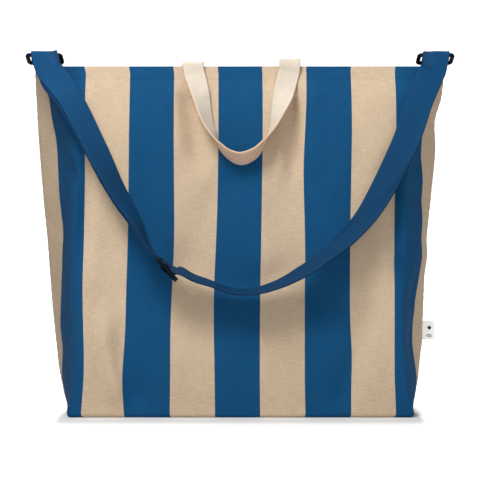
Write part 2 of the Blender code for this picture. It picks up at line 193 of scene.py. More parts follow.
# Routes of the handles and the strap: x, z and the turn of the webbing from face-on, in degrees
HANDLE_ROUTE = [
    (-0.0672, 0.495, 4),
    (-0.0573, 0.460, 32),
    (-0.0490, 0.4235, 58),
    (-0.0403, 0.402, 74),
    (-0.0312, 0.3855, 95),
    (-0.0170, 0.3710, 109),
    (0.0015, 0.3640, 122),
    (0.0200, 0.3710, 116),
    (0.0328, 0.3855, 98),
    (0.0470, 0.4085, 78),
    (0.0553, 0.4310, 54),
    (0.0600, 0.4486, 30),
    (0.0650, 0.4694, 4),
    (0.0718, 0.495, 0),
]
LOOP_ROUTE = [
    (-0.2735, 0.494, 8),
    (-0.2398, 0.4496, 29),
    (-0.2053, 0.384, 38),
    (-0.1728, 0.320, 54),
    (-0.1480, 0.2790, 68),
    (-0.1335, 0.2500, 82),
    (-0.1240, 0.2352, 88),
    (-0.1169, 0.2266, 88),
]
RUN_ROUTE = [
    (-0.0890, 0.2020, 75),
    (-0.0600, 0.1945, 79),
    (-0.0385, 0.1877, 82),
    (-0.0150, 0.1792, 80),
    (0.0050, 0.1770, 81),
    (0.0257, 0.1788, 81),
    (0.0570, 0.1892, 79),
    (0.0927, 0.2085, 74),
    (0.1200, 0.2288, 66),
    (0.1495, 0.2545, 56),
    (0.1790, 0.2885, 42),
    (0.2030, 0.3275, 26),
    (0.2292, 0.3785, 10),
    (0.2432, 0.4125, 3),
    (0.2565, 0.4496, 0),
    (0.2770, 0.4940, 0),
]
# How far the strap and the handles stand off the cloth
STAND_OFF = 0.0056
HANDLE_STAND_OFF = 0.0030
PATH_STEP = 0.003
# The rings: the bar's radius, the corner's radius, the outline, and the middles of the back and front bars
RING_BAR = 0.003
RING_CORNER = 0.0042
RING_SIZE = (0.048, 0.024)
RING_X = 0.282
RING_BACK = Vector((0.0, -0.0130, 0.5075))
RING_FRONT = Vector((0.0, -0.0355, 0.5160))
RING_SKEW = 0.0010
TAB_WIDTH = 0.023
RETURN_LENGTH = 0.045
# How much of the single run goes on, unseen, inside the doubled loop
HIDDEN_LENGTH = 0.046
# The slider: x and z, its direction down the strap, its turn from that, its size and its slots
SLIDER_AT = (-0.1015, 0.2131)
SLIDER_ALONG = Vector((0.643, 0.0, -0.766)).normalized()
SLIDER_TILT = math.radians(-7)
SLIDER_SIZE = (0.033, 0.050, 0.0034)
SLOT = (0.0095, 0.041)
CENTRE_BAR = 0.0050
# How far the label runs into its seam, and how strongly its satin gives off a painted glow
LABEL_TUCK = 0.0045
LABEL_PAINTED_GLOW = 0.22
# x, z, width and height of each printed mark, from the label's middle; the last stands on its corner
LABEL_MARKS = [(0.0, -0.0072, 0.0098, 0.0013), (0.0, -0.0096, 0.0068, 0.0009), (0.0, 0.0034, 0.0048, 0.0048)]

CLOTH_ROUGH = 0.75
CLOTH_SPECULAR = 0.16
# The strap gets painted shade: it darkens by this share as it goes down from the first height to the second
PAINTED_SHADE_HEIGHTS = (0.46, 0.34)
STRAP_LOW_PAINTED_SHADE = 0.30
# Painted shade beside the side seams: the cloth darkens between these places, on the left by this share
SEAM_SHADE_FROM = 3.55 * STRIPE
SEAM_SHADE_TO = 4.00 * STRIPE
LEFT_SHADE = -0.34
# Glow of the pale floor: nothing near the base, full at the second distance from it
GLOW_FROM = 0.040
GLOW_TO = 0.140
GLOW = 0.90


# ---------------------------------------------------------------- curves and tables


def spline_at(points, place):
    """A Catmull-Rom curve through the points, at place 0 to len(points) - 1."""
    last = len(points) - 1
    i = min(int(place), last - 1)
    t = place - i
    a, b, c, d = (points[min(max(k, 0), last)] for k in (i - 1, i, i + 1, i + 2))
    return tuple(
        0.5 * (2 * q + (r - p) * t + (2 * p - 5 * q + 4 * r - s) * t * t + (3 * q - p - 3 * r + s) * t**3)
        for p, q, r, s in zip(a, b, c, d)
    )


def table_at(rows, height):
    """The values of a table whose rows begin with a height, read smoothly at one height."""
    height = min(max(height, rows[0][0]), rows[-1][0])
    for low, high in zip(rows, rows[1:]):
        if height <= high[0]:
            break
    place = rows.index(low) + (height - low[0]) / (high[0] - low[0])
    return spline_at([row[1:] for row in rows], place)


def smooth(value, low, high):
    """0 at low, 1 at high, with a soft start and end."""
    t = np.clip((value - low) / (high - low), 0, 1)
    return t * t * (3 - 2 * t)


def front_depth(z):
    return table_at(LEFT_SIDE, z)[4]


# ---------------------------------------------------------------- the cloth of the bag


class Wall:
    """One panel's surface: u runs across the flat cloth from its middle, z is the height."""

    def __init__(self, left, right, folds, lean, seed, drift=()):
        self.left, self.right, self.drift = left, right, drift
        self.folds, self.lean, self.seed = folds, lean, seed

    def plain_row(self, us, z):
        """x and y of the panel at height z, before its folds."""
        seam_l, fold_xl, fold_yl, corner_l, _ = table_at(self.left, z)
        seam_r, fold_xr, fold_yr, corner_r, depth = table_at(self.right, z)
        draw, lean = table_at(STRIPE_LEAN, z)
        lean *= self.lean
        past = 2 * SEAM_U - FOLD_U
        turn_l, turn_r = (-corner_l - lean) / draw, (corner_r - lean) / draw
        keys = [-past, -SEAM_U, -FOLD_U, turn_l, turn_r, FOLD_U, SEAM_U, past]
        keys[3] = max(keys[3], -FOLD_U + 0.002)
        keys[4] = min(keys[4], FOLD_U - 0.002)
        xs = [-fold_xl, -seam_l, -fold_xl, -corner_l, corner_r, fold_xr, seam_r, fold_xr]
        ys = [fold_yl, 0, -fold_yl, -depth, -depth, -fold_yr, 0, fold_yr]
        soft = 1 - 0.88 * smooth(np.abs(us), SEAM_U - 0.020, SEAM_U - 0.003)
        reach = (0.002 + 0.011 * float(smooth(z, 0.0, 0.09))) * soft
        x, y = np.zeros(len(us)), np.zeros(len(us))
        spread = np.linspace(-1, 1, 9)
        weights = (1 - np.abs(spread) * 0.8) / np.sum(1 - np.abs(spread) * 0.8)
        for offset, weight in zip(spread, weights):
            x += weight * np.interp(us + offset * reach, keys, xs)
            y += weight * np.interp(us + offset * reach, keys, ys)
        for middle, height, wide, tall, shift in self.drift:
            x = x + shift * np.exp(-(((us - middle) / wide) ** 2) - ((z - height) / tall) ** 2)
        return x, y

    def relief(self, us, z):
        """How far the cloth stands out from its plain form."""
        out = np.zeros(len(us))
        for x0, z0, x1, z1, width, height in self.folds:
            length = math.hypot(x1 - x0, z1 - z0)
            ax, az = (x1 - x0) / length, (z1 - z0) / length
            along = ((us - x0) * ax + (z - z0) * az) / length
            away = (us - x0) * az - (z - z0) * ax
            fade = smooth(along, -0.25, 0.25) * (1 - smooth(along, 0.75, 1.25))
            out += height * fade * np.exp(-((away / width) ** 2))
        ripple = [
            0.0034 * noise.noise(Vector((u * 13, z * 4.5, self.seed)))
            + 0.0016 * noise.noise(Vector((u * 34, z * 15, self.seed + 7)))
            + 0.0003 * noise.noise(Vector((u * 120, z * 60, self.seed + 11)))
            for u in us
        ]
        out += np.array(ripple)
        side = smooth(np.abs(us), 3.6 * STRIPE, 4.4 * STRIPE)
        crumple = [
            0.0034 * noise.noise(Vector((u * 22, z * 24, self.seed + 20)))
            for u in us
        ]
        out += side * np.array(crumple)
        hold = (0.25 + 0.75 * (1 - smooth(z, HEIGHT - 0.045, HEIGHT - 0.015))) * smooth(z, 0.0, 0.03)
        out *= hold
        below = HEIGHT - z
        for row in HEM_STITCHES:
            pull = math.exp(-(((below - row) / 0.0016) ** 2))
            out -= pull * (0.00035 + 0.0002 * np.sin(us * 2 * math.pi / 0.0093 + 3 * np.sin(us * 40)))
        out += 0.0004 * math.exp(-(((below - 0.023) / 0.004) ** 2)) * np.sin(us * 2 * math.pi / 0.011)
        pinch = smooth(np.abs(us), SEAM_U - 0.006, SEAM_U - 0.0005)
        pucker = 0.0003 * np.sin(z * 2 * math.pi / 0.012)
        return out * (1 - pinch) - pinch * (0.0006 + pucker)

    def row(self, us, z, inward=0.0):
        """x and y of the finished outer surface at height z, moved inward by a distance."""
        x, y = self.plain_row(us, z)
        step = np.gradient(us)
        dx, dy = np.gradient(x) / step, np.gradient(y) / step
        size = np.maximum(np.hypot(dx, dy), 1e-9)
        out = self.relief(us, z) - inward
        return x + dy / size * out, y - dx / size * out


FRONT = Wall(LEFT_SIDE, RIGHT_SIDE, FRONT_FOLDS, 1.0, 3.0, STRIPE_DRIFT)
BACK = Wall(RIGHT_SIDE, LEFT_SIDE, BACK_FOLDS, -0.5, 41.0)
ABOUT_FACE = Matrix.Rotation(math.pi, 4, "Z")


def mesh_from(name, points, faces, uvs, material):
    """A smooth-shaded object with its flat-pattern UV map."""
    mesh = bpy.data.meshes.new(name)
    mesh.from_pydata([tuple(p) for p in points], [], faces)
    layer = mesh.uv_layers.new(name="cut")
    layer.data.foreach_set("uv", [value for uv in uvs for value in uv])
    mesh.shade_smooth()
    mesh.materials.append(material)
    mesh.validate()
    obj = bpy.data.objects.new(name, mesh)
    bpy.context.scene.collection.objects.link(obj)
    return obj


def settle(obj):
    """Applies the modifiers and the place of an object, so that its mesh is final."""
    bpy.context.view_layer.update()
    graph = bpy.context.evaluated_depsgraph_get()
    mesh = bpy.data.meshes.new_from_object(obj.evaluated_get(graph))
    mesh.transform(obj.matrix_world)
    name = obj.name
    bpy.data.objects.remove(obj)
    made = bpy.data.objects.new(name, mesh)
    bpy.context.scene.collection.objects.link(made)
    return made


def thicken(obj, thickness, offset=-1.0):
    modifier = obj.modifiers.new("thickness", "SOLIDIFY")
    modifier.thickness = thickness
    modifier.offset = offset
    return settle(obj)


def turn_about(obj, turned):
    if turned:
        obj.data.transform(ABOUT_FACE)
    return obj


def columns():
    count = int(round(2 * SEAM_U / GRID)) // 2 * 2
    return np.linspace(-SEAM_U, SEAM_U, count + 1)


def make_panel(name, wall, turned, material):
    """The wall, its half of both sides and its half of the base, cut in one piece."""
    us = columns()
    count = len(us)
    heights = list(np.arange(HEIGHT - RIM_ROLL, BASE_TURN, -GRID)) + [BASE_TURN]
    rows = []
    for z in heights:
        x, y = wall.row(us, z)
        rows.append(np.stack([x, y, np.full(count, z)], axis=1))
    lengths = [float(HEIGHT - z) for z in heights]
    low_x, low_y = wall.row(us, BASE_TURN)
    turns = 5
    for k in range(1, turns + 1):
        angle = math.pi / 2 * k / turns
        shift = BASE_TURN * (1 - math.cos(angle))
        x = low_x * (1 - shift / PANEL_HIGH.x)
        y = low_y * (1 - shift / -PANEL_LOW.y)
        rows.append(np.stack([x, y, np.full(count, BASE_TURN * (1 - math.sin(angle)))], axis=1))
        lengths.append(lengths[-1] + BASE_TURN * math.pi / 2 / turns)
    points = [p for row in rows for p in row]
    faces, uvs = [], []
    for r in range(len(rows) - 1):
        for c in range(count - 1):
            a = r * count + c
            faces.append((a, a + count, a + count + 1, a + 1))
            near, far = -lengths[r], -lengths[r + 1]
            uvs += [(us[c], near), (us[c], far), (us[c + 1], far), (us[c + 1], near)]
    add_base(rows[-1], us, lengths[-1], (len(rows) - 1) * count, points, faces, uvs)
    panel = mesh_from(name, points, faces, uvs, material)
    return turn_about(thicken(panel, CANVAS), turned)


def add_base(edge, us, start, first, points, faces, uvs):
    """Fills the bottom from its front edge back to the middle seam, in line with the edge's columns."""
    side = int(np.argmin(np.abs(us + BASE_CORNER_U)))
    last = len(us) - 1 - side
    across = range(side, last + 1)
    previous = [first + c for c in across]
    for j in range(1, side + 1):
        left, right = side - j, last + j
        current = [first + left]
        y_left, y_right = edge[left][1], edge[right][1]
        for c in list(across)[1:-1]:
            t = (c - side) / (last - side)
            points.append(np.array([edge[c][0], y_left * (1 - t) + y_right * t, 0.0]))
            current.append(len(points) - 1)
        current.append(first + right)
        near, far = start + (j - 1) * GRID, start + j * GRID
        for k, c in enumerate(list(across)[:-1]):
            faces.append((previous[k], current[k], current[k + 1], previous[k + 1]))
            uvs += [(us[c], -near), (us[c], -far), (us[c + 1], -far), (us[c + 1], -near)]
        previous = current


def make_hem(name, wall, turned, material):
    """The cloth rolled over the rim and turned in."""
    us = columns()[2:-2]
    count = len(us)
    steps = 7
    profile = []
    for k in range(steps + 1):
        angle = math.pi * k / steps
        profile.append((RIM_ROLL * (1 - math.cos(angle)), -RIM_ROLL + RIM_ROLL * math.sin(angle)))
    for k in range(1, 9):
        profile.append((2 * RIM_ROLL + 0.0003 * math.sin(k), -RIM_ROLL - (HEM_DEPTH - RIM_ROLL) * k / 8))
    points, faces, uvs, length = [], [], [], 0.0
    lengths = []
    for i, (inward, drop) in enumerate(profile):
        x, y = wall.row(us, HEIGHT - RIM_ROLL + min(drop + RIM_ROLL, 0.0), inward)
        points += [(x[c], y[c], HEIGHT + drop) for c in range(count)]
        if i:
            length += math.dist(profile[i], profile[i - 1])
        lengths.append(length)
    for r in range(len(profile) - 1):
        for c in range(count - 1):
            a = r * count + c
            faces.append((a, a + 1, a + count + 1, a + count))
            near, far = lengths[r], lengths[r + 1]
            uvs += [(us[c], near), (us[c + 1], near), (us[c + 1], far), (us[c], far)]
    hem = mesh_from(name, points, faces, uvs, material)
    return turn_about(thicken(hem, CANVAS * 0.8), turned)


# ---------------------------------------------------------------- webbing


def route_path(route, half_width, stand_off):
    """(centre, across) pairs on a smooth route in front of the bag, resting on its front face."""
    spots, place = [], 0.0
    while place < len(route) - 1:
        spots.append(spline_at(route, place))
        ahead = spline_at(route, min(place + 0.05, len(route) - 1))
        speed = math.hypot(ahead[0] - spots[-1][0], ahead[1] - spots[-1][1]) / 0.05
        place += PATH_STEP / max(speed, 1e-4)
    spots.append(route[-1])
    pairs = []
    for i, (x, z, turn) in enumerate(spots):
        before, after = spots[max(i - 1, 0)], spots[min(i + 1, len(spots) - 1)]
        along = Vector((after[0] - before[0], 0, after[1] - before[1])).normalized()
        flat = Vector((-along.z, 0, along.x))
        turn = math.radians(turn)
        y = -front_depth(z) - stand_off - half_width * abs(math.sin(turn))
        pairs.append((Vector((x, y, z)), flat * math.cos(turn) + Vector((0, math.sin(turn), 0))))
    return pairs


def around_bar(bar, start, across, radius, count, sweep):
    """(centre, across) pairs on an arc about a bar, from the direction start, turned by sweep degrees."""
    axis = across.normalized()
    return [
        (bar + Matrix.Rotation(math.radians(sweep * k / count), 3, axis) @ start.normalized() * radius, axis)
        for k in range(count + 1)
    ]


def path_frames(path):
    """Centre, across, normal and distance at every point of a path."""
    frames, distance = [], 0.0
    for i, (centre, across) in enumerate(path):
        along = (path[min(i + 1, len(path) - 1)][0] - path[max(i - 1, 0)][0]).normalized()
        across = (across - along * across.dot(along)).normalized()
        if i:
            distance += (centre - path[i - 1][0]).length
        frames.append((centre, across, along.cross(across).normalized(), distance))
    return frames


def layered(path, amount):
    """The path moved towards its own face by amount at each point."""
    return [(centre + normal * amount, across) for centre, across, normal, _ in path_frames(path)]


def refined(path, step=PATH_STEP):
    """The path with points about a step apart, on a smooth curve through its own."""
    rows = [(*centre, *across) for centre, across in path]
    made = []
    for i in range(len(rows) - 1):
        gap = (path[i + 1][0] - path[i][0]).length
        count = max(1, round(gap / step))
        for k in range(count):
            values = spline_at(rows, i + k / count)
            made.append((Vector(values[:3]), Vector(values[3:]).normalized()))
    made.append(path[-1])
    return made


def flat(distance, t):
    return 0.0


def webbing(name, path, width, thickness, material, shape=flat, half_columns=8):
    """A woven strip with round edges. shape lifts it, by the distance along it and the place across."""
    frames = path_frames(path)
    ts = [k / half_columns for k in range(-half_columns, half_columns + 1)]
    edge = thickness / 2
    profile = [(t, edge) for t in ts] + [(1, 0.0)] + [(t, -edge) for t in reversed(ts)] + [(-1, 0.0)]
    around = len(profile)
    points, faces, uvs = [], [], []
    for centre, across, normal, distance in frames:
        half = width / 2
        for t, rise in profile:
            reach = half if rise == 0.0 else half - edge * 0.6
            lift = rise + shape(distance, t)
            points.append(centre + across * (t * reach) + normal * lift)
    girth = [0.0]
    for a, b in zip(profile, profile[1:] + profile[:1]):
        girth.append(girth[-1] + max(abs(b[0] - a[0]) * width / 2, edge))
    for i in range(len(frames) - 1):
        for k in range(around):
            a, b = i * around + k, i * around + (k + 1) % around
            faces.append((a, b, b + around, a + around))
            d0, d1 = frames[i][3], frames[i + 1][3]
            uvs += [(girth[k], d0), (girth[k + 1], d0), (girth[k + 1], d1), (girth[k], d1)]
    last = (len(frames) - 1) * around
    faces.append(tuple(reversed(range(around))))
    faces.append(tuple(range(last, last + around)))
    uvs += [(0.0, 0.0)] * (2 * around)
    obj = mesh_from(name, points, faces, uvs, material)
    fix_outward(obj)
    return obj


def fix_outward(obj):
    bm = bmesh.new()
    bm.from_mesh(obj.data)
    bmesh.ops.recalc_face_normals(bm, faces=bm.faces)
    bm.to_mesh(obj.data)
    bm.free()


# ---------------------------------------------------------------- stitches


def add_node(tree, kind, settings=None, **inputs):
    """A node with its settings and input values; an input may be a socket to link."""
    node = tree.nodes.new(kind)
    for key, value in (settings or {}).items():
        setattr(node, key, value)
    for key, value in inputs.items():
        place = int(key[1:]) if key[0] == "_" and key[1:].isdigit() else key.replace("_", " ")
        socket = node.inputs[place]
        if isinstance(value, bpy.types.NodeSocket):
            tree.links.new(value, socket)
        else:
            socket.default_value = value
    return node


def stitch_tree():
    """Lays short thread stitches along the edges it is given."""
    tree = bpy.data.node_groups.new("Row of stitches", "GeometryNodeTree")
    face = tree.interface
    face.new_socket("Geometry", in_out="INPUT", socket_type="NodeSocketGeometry")
    for name, value in (("Pitch", STITCH_PITCH), ("Length", STITCH_LENGTH), ("Thread", STITCH_THREAD)):
        socket = face.new_socket(name, in_out="INPUT", socket_type="NodeSocketFloat")
        socket.default_value = value
    face.new_socket("Material", in_out="INPUT", socket_type="NodeSocketMaterial")
    face.new_socket("Geometry", in_out="OUTPUT", socket_type="NodeSocketGeometry")
    given = tree.nodes.new("NodeGroupInput")
    curve = add_node(tree, "GeometryNodeMeshToCurve", Mesh=given.outputs["Geometry"])
    spots = add_node(
        tree, "GeometryNodeCurveToPoints", {"mode": "LENGTH"},
        Curve=curve.outputs[0], Length=given.outputs["Pitch"],
    )
    ball = add_node(tree, "GeometryNodeMeshUVSphere", Segments=6, Rings=4, Radius=0.5)
    size = add_node(
        tree, "ShaderNodeCombineXYZ",
        X=given.outputs["Thread"], Y=given.outputs["Thread"], Z=given.outputs["Length"],
    )
    stretched = add_node(tree, "GeometryNodeTransform", Geometry=ball.outputs[0], Scale=size.outputs[0])
    copies = add_node(
        tree, "GeometryNodeInstanceOnPoints",
        Points=spots.outputs["Points"], Instance=stretched.outputs[0], Rotation=spots.outputs["Rotation"],
    )
    real = add_node(tree, "GeometryNodeRealizeInstances", Geometry=copies.outputs[0])
    smooth_node = add_node(tree, "GeometryNodeSetShadeSmooth", Geometry=real.outputs[0])
    coloured = add_node(
        tree, "GeometryNodeSetMaterial", Geometry=smooth_node.outputs[0], Material=given.outputs["Material"]
    )
    end = tree.nodes.new("NodeGroupOutput")
    tree.links.new(coloured.outputs[0], end.inputs[0])
    return tree


def stitches(name, lines, material, tree, thread=STITCH_THREAD):
    """Stitches along lines of points, as one plain mesh."""
    mesh = bpy.data.meshes.new(name)
    points, edges = [], []
    for line in lines:
        start = len(points)
        points += [tuple(p) for p in line]
        edges += [(start + k, start + k + 1) for k in range(len(line) - 1)]
    mesh.from_pydata(points, edges, [])
    obj = bpy.data.objects.new(name, mesh)
    bpy.context.scene.collection.objects.link(obj)
    modifier = obj.modifiers.new("stitches", "NODES")
    modifier.node_group = tree
    sockets = {s.name: s.identifier for s in tree.interface.items_tree if s.in_out == "INPUT"}
    modifier[sockets["Pitch"]] = STITCH_PITCH
    modifier[sockets["Length"]] = STITCH_LENGTH
    modifier[sockets["Thread"]] = thread
    modifier[sockets["Material"]] = material
    return settle(obj)


def edge_lines(path, width, thickness, inset, shape=flat):
    """Lines on both faces of a strip, a little in from its two edges."""
    lines = []
    half = width / 2
    for face in (1, -1):
        for side in (-1, 1):
            line = []
            for centre, across, normal, distance in path_frames(path):
                t = side * (half - inset) / half
                lift = face * thickness / 2 + shape(distance, t)
                line.append(centre + across * (t * half) + normal * lift)
            lines.append(line)
    return lines


# ---------------------------------------------------------------- materials


def shader_group(name, inputs, outputs):
    tree = bpy.data.node_groups.new(name, "ShaderNodeTree")
    for label, kind, value in inputs:
        socket = tree.interface.new_socket(label, in_out="INPUT", socket_type=kind)
        if value is not None:
            socket.default_value = value
    for label, kind in outputs:
        tree.interface.new_socket(label, in_out="OUTPUT", socket_type=kind)
    return tree, tree.nodes.new("NodeGroupInput"), tree.nodes.new("NodeGroupOutput")


def maths(tree, operation, a, b=None, c=None):
    node = tree.nodes.new("ShaderNodeMath")
    node.operation = operation
    for k, value in enumerate((a, b, c)):
        if isinstance(value, bpy.types.NodeSocket):
            tree.links.new(value, node.inputs[k])
        elif value is not None:
            node.inputs[k].default_value = value
    return node.outputs[0]


def vector_maths(tree, operation, a, b=None):
    inputs = {"_0": a} if b is None else {"_0": a, "_1": b}
    return add_node(tree, "ShaderNodeVectorMath", {"operation": operation}, **inputs)


def mapped(tree, vector, scale):
    return add_node(tree, "ShaderNodeMapping", Vector=vector, Scale=scale).outputs[0]


def weave_group():
    """Plain weave: raised crossings, thick and thin yarns both ways, and a slow drift of tone."""
    tree, given, made = shader_group(
        "Plain weave",
        [
            ("Vector", "NodeSocketVector", None),
            ("Yarn", "NodeSocketFloat", 0.0009),
            ("Slub", "NodeSocketFloat", 0.5),
        ],
        [("Height", "NodeSocketFloat"), ("Tone", "NodeSocketFloat"), ("Drift", "NodeSocketFloat")],
    )
    place = given.outputs["Vector"]
    split = add_node(tree, "ShaderNodeSeparateXYZ", Vector=place)
    rate = maths(tree, "DIVIDE", 2 * math.pi, given.outputs["Yarn"])
    across = maths(tree, "SINE", maths(tree, "MULTIPLY", split.outputs[0], rate))
    up = maths(tree, "SINE", maths(tree, "MULTIPLY", split.outputs[1], rate))
    crossing = maths(tree, "MULTIPLY", across, up)
    weft = add_node(
        tree, "ShaderNodeTexNoise", Vector=mapped(tree, place, (70, 1100, 1)), Scale=1.0, Detail=2.0
    ).outputs[0]
    warp = add_node(
        tree, "ShaderNodeTexNoise", Vector=mapped(tree, place, (1100, 60, 1)), Scale=1.0, Detail=2.0
    ).outputs[0]
    both = maths(tree, "ADD", maths(tree, "MULTIPLY", weft, 1.3), maths(tree, "MULTIPLY", warp, 0.7))
    yarns = maths(tree, "SUBTRACT", both, 1.0)
    slubs = maths(tree, "MULTIPLY", yarns, given.outputs["Slub"])
    height = maths(tree, "ADD", maths(tree, "MULTIPLY", crossing, 0.35), maths(tree, "MULTIPLY", slubs, 1.6))
    tone = maths(tree, "ADD", maths(tree, "MULTIPLY", crossing, 0.10), slubs)
    drift = add_node(
        tree, "ShaderNodeTexNoise", Vector=mapped(tree, place, (16, 9, 1)), Scale=1.0, Detail=3.0
    ).outputs[0]
    tree.links.new(height, made.inputs["Height"])
    tree.links.new(tone, made.inputs["Tone"])
    tree.links.new(maths(tree, "SUBTRACT", drift, 0.5), made.inputs["Drift"])
    return tree


def shade_group():
    """Brightens or darkens a colour by a small signed amount."""
    tree, given, made = shader_group(
        "Shade by amount",
        [("Color", "NodeSocketColor", (1, 1, 1, 1)), ("Amount", "NodeSocketFloat", 0.0)],
        [("Color", "NodeSocketColor")],
    )
    factor = maths(tree, "ADD", given.outputs["Amount"], 1.0)
    node = vector_maths(tree, "SCALE", given.outputs["Color"])
    tree.links.new(factor, node.inputs["Scale"])
    tree.links.new(node.outputs[0], made.inputs["Color"])
    return tree


def group_node(tree, group, **inputs):
    node = tree.nodes.new("ShaderNodeGroup")
    node.node_tree = group
    for key, value in inputs.items():
        if isinstance(value, bpy.types.NodeSocket):
            tree.links.new(value, node.inputs[key])
        else:
            node.inputs[key].default_value = value
    return node


def blank_material(name, roughness, specular):
    material = bpy.data.materials.new(name)
    material.use_nodes = True
    shader = material.node_tree.nodes["Principled BSDF"]
    shader.inputs["Roughness"].default_value = roughness
    shader.inputs["Specular IOR Level"].default_value = specular
    return material, material.node_tree, shader


def cloth_surface(tree, shader, colour, weave, shade, slub, bump, yarn, drift_share):
    """Gives a cloth its toned colour and its woven relief; colour is a socket or a constant."""
    place = add_node(tree, "ShaderNodeUVMap", {"uv_map": "cut"}).outputs[0]
    woven = group_node(tree, weave, Vector=place, Yarn=yarn, Slub=slub)
    drift = maths(tree, "MULTIPLY", woven.outputs["Drift"], drift_share)
    amount = maths(tree, "ADD", woven.outputs["Tone"], drift)
    toned = group_node(tree, shade, Color=colour, Amount=amount)
    tree.links.new(toned.outputs[0], shader.inputs["Base Color"])
    relief = add_node(tree, "ShaderNodeBump", Strength=bump, Distance=0.0006, Height=woven.outputs["Height"])
    tree.links.new(relief.outputs[0], shader.inputs["Normal"])


def two_faced(tree, outer, inner, width):
    """The colour of a webbing whose inner face, past its width on the flat pattern, is another shade: a
    painted shade, a darker copy of the outer colour.
    """
    place = add_node(tree, "ShaderNodeUVMap", {"uv_map": "cut"}).outputs[0]
    split = add_node(tree, "ShaderNodeSeparateXYZ", Vector=place)
    past = maths(tree, "GREATER_THAN", split.outputs[0], width)
    return add_node(tree, "ShaderNodeMix", {"data_type": "RGBA"}, _0=past, _6=outer, _7=inner).outputs[2]


def striped_thread():
    """Hem thread dyed like the stripe it crosses, a little darker."""
    material, tree, shader = blank_material("hem_thread", 0.8, 0.12)
    place = add_node(tree, "ShaderNodeTexCoord").outputs["Object"]
    split = add_node(tree, "ShaderNodeSeparateXYZ", Vector=place)
    across = maths(tree, "ABSOLUTE", split.outputs[0])
    count = maths(tree, "ADD", maths(tree, "DIVIDE", across, STRIPE * STRIPE_LEAN[-1][1]), 0.5)
    blue = maths(tree, "LESS_THAN", maths(tree, "MODULO", count, 2.0), 1.0)
    colour = add_node(tree, "ShaderNodeMix", {"data_type": "RGBA"}, _0=blue, _6=THREAD_BEIGE, _7=THREAD_NAVY)
    tree.links.new(colour.outputs[2], shader.inputs["Base Color"])
    return material


def striped_canvas(weave, shade):
    material, tree, shader = blank_material("striped_canvas", CLOTH_ROUGH, CLOTH_SPECULAR)
    place = add_node(tree, "ShaderNodeUVMap", {"uv_map": "cut"}).outputs[0]
    split = add_node(tree, "ShaderNodeSeparateXYZ", Vector=place)
    fray = add_node(
        tree, "ShaderNodeTexNoise", Vector=mapped(tree, place, (1, 900, 1)), Scale=1.0, Detail=0.0
    ).outputs[0]
    wander = maths(tree, "MULTIPLY", fray, 0.0003)
    across = maths(tree, "ADD", maths(tree, "ABSOLUTE", split.outputs[0]), wander)
    count = maths(tree, "ADD", maths(tree, "DIVIDE", across, STRIPE), 0.5)
    phase = maths(tree, "MODULO", count, 2.0)
    blue = maths(tree, "LESS_THAN", phase, 1.0)
    colour = add_node(tree, "ShaderNodeMix", {"data_type": "RGBA"}, _0=blue, _6=BEIGE, _7=BLUE).outputs[2]
    # Painted shade: the cloth darkens towards the side seam, on the left side only, standing in for shade on
    # the side gusset
    whole = add_node(tree, "ShaderNodeTexCoord").outputs["Object"]
    on_left = maths(tree, "LESS_THAN", add_node(tree, "ShaderNodeSeparateXYZ", Vector=whole).outputs[0], 0.0)
    depth = maths(tree, "MULTIPLY", on_left, LEFT_SHADE)
    near_seam = add_node(tree, "ShaderNodeMapRange", Value=across, _1=SEAM_SHADE_FROM, _2=SEAM_SHADE_TO)
    amount = maths(tree, "MULTIPLY", near_seam.outputs[0], depth)
    shaded = group_node(tree, shade, Color=colour, Amount=amount).outputs[0]
    cloth_surface(tree, shader, shaded, weave, shade, 0.42, 0.6, 0.0010, 0.22)
    return material


def plain_cloth(name, colour, weave, shade, slub, bump, yarn, inner=None, width=0.0, painted_shade_share=0.0):
    """Cloth of one colour; an inner colour paints shade on its far face, and a share of painted shade darkens
    it going down between the two painted-shade heights.
    """
    material, tree, shader = blank_material(name, CLOTH_ROUGH, CLOTH_SPECULAR)
    # Painted shade: the far face of the webbing takes a shaded copy of its colour
    if inner:
        colour = two_faced(tree, colour, inner, width)
    # Painted shade: the colour darkens going down, standing in for the shade on the strap's lower, turned
    # runs
    if painted_shade_share:
        place = add_node(tree, "ShaderNodeTexCoord").outputs["Object"]
        height = add_node(tree, "ShaderNodeSeparateXYZ", Vector=place).outputs[2]
        high, low = PAINTED_SHADE_HEIGHTS
        painted_shade_fall = add_node(tree, "ShaderNodeMapRange", Value=height, _1=high, _2=low, _4=-painted_shade_share)
        colour = group_node(tree, shade, Color=colour, Amount=painted_shade_fall.outputs[0]).outputs[0]
    cloth_surface(tree, shader, colour, weave, shade, slub, bump, yarn, 0.12)
    return material


def glowing_label_satin(weave, shade):
    """Bright white woven satin, with a painted glow: it emits light though it is no lamp."""
    material = plain_cloth("label_weave", LABEL_WHITE, weave, shade, 0.05, 0.2, 0.0004)
    shader = material.node_tree.nodes["Principled BSDF"]
    # Painted light: the label glows by emission to look brighter, though it is no lamp
    shader.inputs["Emission Color"].default_value = LABEL_WHITE
    shader.inputs["Emission Strength"].default_value = LABEL_PAINTED_GLOW
    return material


def moulded_plastic():
    """Dark nylon with a fine moulded grain and rubbed high spots."""
    material, tree, shader = blank_material("moulded_plastic", 0.5, 0.10)
    place = add_node(tree, "ShaderNodeTexCoord").outputs["Object"]
    grain = add_node(tree, "ShaderNodeTexNoise", Vector=place, Scale=1800.0, Detail=2.0).outputs[0]
    haze = add_node(tree, "ShaderNodeTexNoise", Vector=place, Scale=160.0, Detail=3.0).outputs[0]
    colour = add_node(
        tree, "ShaderNodeMix", {"data_type": "RGBA"}, _0=haze, _6=PLASTIC_BLACK, _7=PLASTIC_WORN
    ).outputs[2]
    tree.links.new(colour, shader.inputs["Base Color"])
    tree.links.new(maths(tree, "ADD", maths(tree, "MULTIPLY", haze, 0.20), 0.46), shader.inputs["Roughness"])
    relief = add_node(tree, "ShaderNodeBump", Strength=0.15, Distance=0.0002, Height=grain)
    tree.links.new(relief.outputs[0], shader.inputs["Normal"])
    return material


